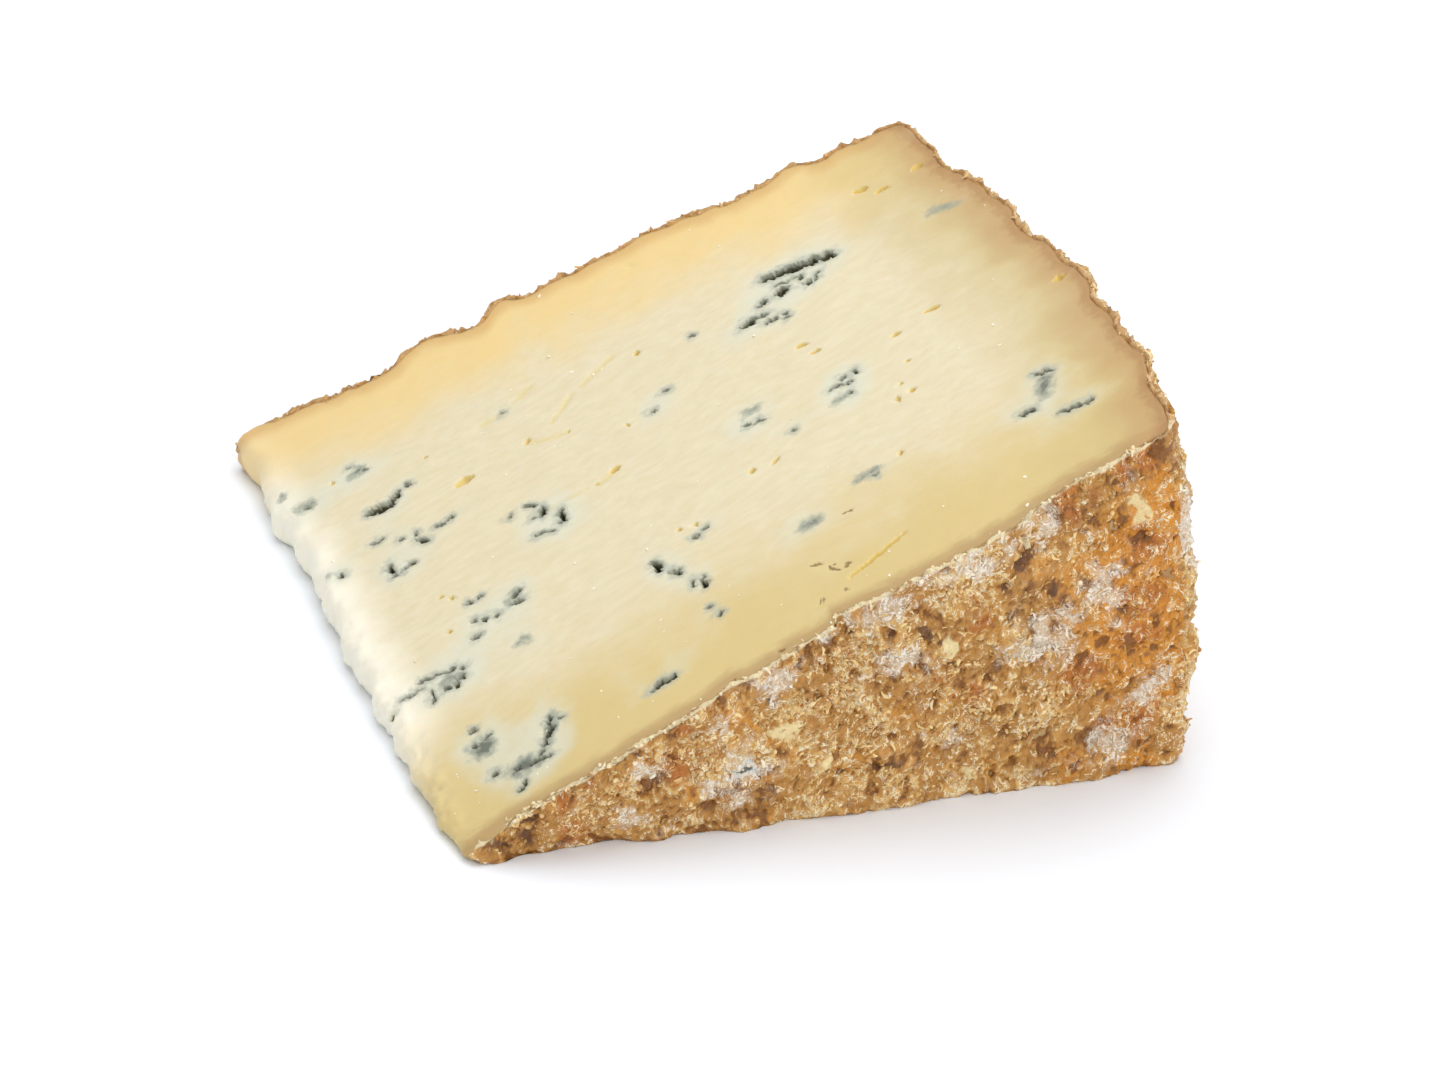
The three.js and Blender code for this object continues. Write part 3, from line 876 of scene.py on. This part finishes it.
paint = layered(tree, known, blend(tree, blotches, hue("a86e24"), hue("cc984a")), [
    # Paler where the relief stands high and darker where it is low: partly the crust's own tone, partly
    # painted highlight and painted shade.
    ("ddb56c", "crust_tone_shade_highlight", 0.2, 1.0, blotches, 4.0, 0.75),
    ("d48a1c", "orange", 0.0, 0.7, blotches, 2.2, 0.9),
    ("b4681a", "amber", 0.4, 0.95, blotches, 1.2, 0.85),
    ("7e4c18", "crust_tone_shade_highlight", 0.0, -0.75, flecks, 1.2, 0.85),
    # Dark pits: partly darker crust, partly painted shade.
    ("5c3716", "dark", 0.4, 0.85, flecks, 1.2, 0.8),
    ("eac88a", "crust_tone_shade_highlight", 0.7, 1.4, specks, 3.6, 0.75),
    ("faecca", "crust_tone_shade_highlight", 0.8, 1.3, curl_lines, 1.6, 0.85),
    ("d8c4a8", "bloom", 0.35, 1.2, flecks, 2.4, 0.65),
    ("ece0ce", "bloom", 0.9, 1.6, specks, 4.0, 0.7),
    ("f6eedf", "bloom", 0.9, 1.4, curl_lines, 1.2, 0.75),
    ("f0dca4", "waxy", 0.35, 0.7, flecks, 0.8, 0.85),
    ("e6e6de", "mould", 0.12, 0.35, flecks, 0.6, 0.85),
    ("4c5048", "mould", 0.6, 0.85, flecks, 0.5, 0.9),
    ("eddcb2", "cut_edge", 0.3, 0.7, flecks, 0.5, 0.92),
    ("c28c44", "brown_edge", 0.2, 0.8, flecks, 1.6, 0.85),
    ("a5702f", "edge_pits", 0.3, 0.8, specks, 0.8, 0.8),
])
curly = bump(tree, curl_lines, 0.5, 0.15, bump(tree, specks, 0.6, 0.2))
feed(tree, shader, {
    "Base Color": paint, "Normal": bump(tree, flecks, 0.7, 0.5, curly),
    "Roughness": 0.36, "IOR": 1.45, "Specular IOR Level": 0.6,
    "Subsurface Weight": 0.12, "Subsurface Radius": (1.0, 0.5, 0.2), "Subsurface Scale": 0.6 * MM,
})
rind_mesh.materials.append(rind_finish)
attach(rind, "root")

# ---------------------------------------------------------------------------------------------
# The flakes and grains of the rind. Dried yeast and curd stand on it as thin curled flakes, up to
# two millimetres long, and as rounder granules of up to one. They are bits of the rind itself.

# Thin flakes catch the light, so they look paler and sharper than the crust they stand on.
flake_finish, tree, shader, _, known = new_finish("dried cheese flakes, loose on the rind", [
    "tone", "amber", "orange", "bloom", "dark", "cut_edge", "brown_edge", "crust_tone_shade_highlight",
])
plain_tone = 0.5
paint = layered(tree, known, blend(tree, known["tone"], hue("ad742c"), hue("f4d69a")), [
    ("d08c2c", "orange", 0.2, 0.8, plain_tone, 0.0, 0.6),
    ("be7e34", "amber", 0.4, 0.9, plain_tone, 0.0, 0.5),
    # Flakes in the crust's pits are painted darker, as painted shade.
    ("9c6f38", "crust_tone_shade_highlight", 0.0, -0.9, plain_tone, 0.0, 0.7),
    # Flakes in the dark pits are painted darker too, partly as painted shade.
    ("6f4826", "dark", 0.4, 0.9, plain_tone, 0.0, 0.8),
    ("f3ece0", "bloom", 0.3, 0.8, plain_tone, 0.0, 0.75),
    ("efdfb8", "cut_edge", 0.2, 0.8, plain_tone, 0.0, 0.9),
    ("cd9a5c", "brown_edge", 0.2, 0.8, plain_tone, 0.0, 0.7),
])
feed(tree, shader, {
    "Base Color": paint, "Roughness": 0.5, "IOR": 1.45, "Specular IOR Level": 0.5,
    "Subsurface Weight": 0.3, "Subsurface Radius": (1.0, 0.6, 0.3), "Subsurface Scale": 0.4 * MM,
})


def scatter(name, base, settings, shapes):
    """Strews bent and squashed grains over a mesh, as thickly as its crumbly attribute says.

    A shape is how long, wide and thick a grain is, and how far it is bent, in grain radii.
    """
    strewn = bpy.data.node_groups.new(name, "GeometryNodeTree")
    strewn.interface.new_socket("Geometry", in_out="INPUT", socket_type="NodeSocketGeometry")
    strewn.interface.new_socket("Geometry", in_out="OUTPUT", socket_type="NodeSocketGeometry")
    kinds = {"Per Square Metre": "Float", "Smallest": "Float", "Largest": "Float", "Tilt": "Float"}
    kinds |= {"Seed": "Int", "Finish": "Material"}
    sockets = {}
    for label, kind in kinds.items():
        made = strewn.interface.new_socket(label, in_out="INPUT", socket_type="NodeSocket" + kind)
        sockets[label] = made.identifier
    given = add(strewn, "NodeGroupInput").outputs
    cover = add(strewn, "GeometryNodeInputNamedAttribute", {"Name": "crumbly"}).outputs[0]
    thick = maths(strewn, "MULTIPLY", given["Per Square Metre"], cover)
    strewing = add(strewn, "GeometryNodeDistributePointsOnFaces", {
        "Mesh": given["Geometry"], "Density": thick, "Seed": given["Seed"],
    }).outputs
    grains = add(strewn, "GeometryNodeJoinGeometry").inputs[0]
    for long, wide, deep, bend in shapes:
        ball = add(strewn, "GeometryNodeMeshIcoSphere", {"Radius": 1.0, "Subdivisions": 1}).outputs[0]
        spot = add(strewn, "GeometryNodeInputPosition").outputs[0]
        warp = add(strewn, "ShaderNodeTexNoise", {"Scale": 0.9, "Vector": spot}).outputs["Color"]
        apart = add(strewn, "ShaderNodeSeparateXYZ", {0: spot}).outputs
        curve = maths(strewn, "MULTIPLY", apart[0], apart[0])
        bow = add(strewn, "ShaderNodeCombineXYZ", {"Y": curve}).outputs[0]
        flat = vector_maths(strewn, "MULTIPLY", spot, (long, wide, deep))
        bent = vector_maths(strewn, "MULTIPLY_ADD", bow, (0, bend, 0), flat)
        uneven_by = (0.5 * wide, 0.5 * wide, 0.5 * deep)
        lumpy = vector_maths(strewn, "MULTIPLY_ADD", warp, uneven_by, bent)
        made = add(strewn, "GeometryNodeSetPosition", {"Geometry": ball, "Position": lumpy}).outputs[0]
        one = add(strewn, "GeometryNodeGeometryToInstance", {0: made}).outputs[0]
        strewn.links.new(one, grains)
    low_turn = add(strewn, "ShaderNodeCombineXYZ", {"Z": -math.pi})
    high_turn = add(strewn, "ShaderNodeCombineXYZ", {"Z": math.pi})
    minus = maths(strewn, "MULTIPLY", given["Tilt"], -1.0)
    for way in ("X", "Y"):
        strewn.links.new(minus, low_turn.inputs[way])
        strewn.links.new(given["Tilt"], high_turn.inputs[way])
    turn = add(strewn, "FunctionNodeRandomValue", {
        0: low_turn.outputs[0], 1: high_turn.outputs[0], "Seed": 1,
    }, data_type="FLOAT_VECTOR").outputs[0]
    turned = add(strewn, "FunctionNodeRotateRotation", {
        "Rotation": strewing["Rotation"], "Rotate By": turn,
    }, rotation_space="LOCAL").outputs[0]
    size = add(strewn, "FunctionNodeRandomValue", {
        2: given["Smallest"], 3: given["Largest"], "Seed": 2,
    }, data_type="FLOAT").outputs[1]
    placed = add(strewn, "GeometryNodeInstanceOnPoints", {
        "Points": strewing["Points"], "Instance": grains.node.outputs[0], "Pick Instance": True,
        "Rotation": turned, "Scale": size,
    }).outputs[0]
    tone = add(strewn, "FunctionNodeRandomValue", {"Seed": 3}, data_type="FLOAT").outputs[1]
    toned = add(strewn, "GeometryNodeStoreNamedAttribute", {
        "Geometry": placed, "Name": "tone", "Value": tone,
    }, data_type="FLOAT", domain="INSTANCE").outputs[0]
    real = add(strewn, "GeometryNodeRealizeInstances", {0: toned}).outputs[0]
    painted = add(strewn, "GeometryNodeSetMaterial", {
        "Geometry": real, "Material": given["Finish"],
    }).outputs[0]
    add(strewn, "NodeGroupOutput", {0: painted})

    piece = stand(name, base)
    strewer = piece.modifiers.new(name, "NODES")
    strewer.node_group = strewn
    for label, value in settings.items():
        strewer[sockets[label]] = value
    depsgraph = bpy.context.evaluated_depsgraph_get()
    result = bpy.data.meshes.new_from_object(piece.evaluated_get(depsgraph), depsgraph=depsgraph)
    piece.modifiers.clear()
    piece.data = result
    result.name = name
    return piece


flakes = scatter("rind_flakes", rind_mesh, {
    "Per Square Metre": 0.5e6, "Smallest": 0.3 * MM, "Largest": 0.95 * MM, "Tilt": 0.6,
    "Seed": 4, "Finish": flake_finish,
}, [(1.0, 0.24, 0.22, 0.5), (1.0, 0.2, 0.2, -0.8), (0.8, 0.34, 0.18, 0.25)])
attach(flakes, "root")

grains = scatter("rind_grains", rind_mesh, {
    "Per Square Metre": 0.5e6, "Smallest": 0.16 * MM, "Largest": 0.5 * MM, "Tilt": 3.1,
    "Seed": 9, "Finish": flake_finish,
}, [(1.0, 0.8, 0.6, 0.1), (0.9, 0.7, 0.8, -0.2), (1.0, 0.55, 0.6, 0.3)])
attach(grains, "root")

# ---------------------------------------------------------------------------------------------
# The crumbs of the cut. Bits of white curd that the wire pulled off cling to the upper cut face,
# most of them at the front end of the tip.

# Fresh dry curd: whiter than the waxy face it lies on, and matt.
crumb_finish, tree, shader, _, known = new_finish("cheese crumbs, left by the wire", ["tone"])
paint = blend(tree, known["tone"], hue("f0e4c4"), hue("fbf7ea"))
feed(tree, shader, {"Base Color": paint, "Roughness": 0.7, "IOR": 1.45})
crumbs = scatter("cut_crumbs", paste_mesh, {
    "Per Square Metre": 9000, "Smallest": 0.14 * MM, "Largest": 0.42 * MM, "Tilt": 0.4,
    "Seed": 5, "Finish": crumb_finish,
}, [(1.0, 0.6, 0.4, 0.2), (0.9, 0.5, 0.5, -0.3), (1.0, 0.3, 0.3, 0.6)])
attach(crumbs, "root")

# ---------------------------------------------------------------------------------------------
# The floor, the light and the camera: a plain pale table under wide soft lamps.

floor_mesh = bpy.data.meshes.new("table_top")
half = 1.5
corners = [(-half, -half, 0), (half, -half, 0), (half, half, 0), (-half, half, 0)]
floor_mesh.from_pydata(corners, [], [(0, 1, 2, 3)])
table_top = stand("table_top", floor_mesh)
table_finish, tree, shader, _, _ = new_finish("white card, matt", [])
feed(tree, shader, {"Base Color": hue("f5f9ff"), "Roughness": 0.9, "Specular IOR Level": 0.1})
floor_mesh.materials.append(table_finish)


def lamp(name, size, power, place, target):
    """A square soft lamp that looks at a target. Places are in metres."""
    light = bpy.data.lights.new(name, "AREA")
    light.size = size
    light.energy = power
    made = stand(name, light)
    made.location = place
    made.rotation_euler = (Vector(target) - Vector(place)).to_track_quat("-Z", "Y").to_euler()


lamp("top_lamp", 0.8, 4.55, (0.1, 0.2, 0.8), (0, 0, 0.02))
lamp("front_lamp", 0.6, 3.2, (0.25, -0.8, 0.45), (0, 0, 0.02))
world = bpy.data.worlds.new("white room")
world.use_nodes = True
tree = world.node_tree
feed(tree, tree.nodes["Background"], {"Color": (1, 1, 1, 1), "Strength": 0.6})
bpy.context.scene.world = world
bpy.context.scene.view_settings.view_transform = "Standard"

# The camera looks down on the front left corner through a long lens. Its aim is given in
# millimetres from the front end of the tip, as the form is.
azimuth = math.radians(-13.931)
elevation = math.radians(30.754)
camera_distance = 696.3
aim_right = -3.365
aim_up = -5.441
level_out = math.cos(elevation)
back = Vector((math.sin(azimuth) * level_out, -math.cos(azimuth) * level_out, math.sin(elevation)))
right = Vector((math.cos(azimuth), math.sin(azimuth), 0))
up = back.cross(right)
near_middle = Vector((50, 50, 20))
aim = near_middle + Vector(shift) + right * aim_right + up * aim_up
lens = bpy.data.cameras.new("camera")
lens.lens = 124.3
lens.sensor_width = 36
lens.clip_start = 0.01
lens.clip_end = 10
camera = stand("camera", lens)
camera.location = (aim + back * camera_distance) * MM
camera.rotation_euler = (-back).to_track_quat("-Z", "Y").to_euler()
bpy.context.scene.camera = camera
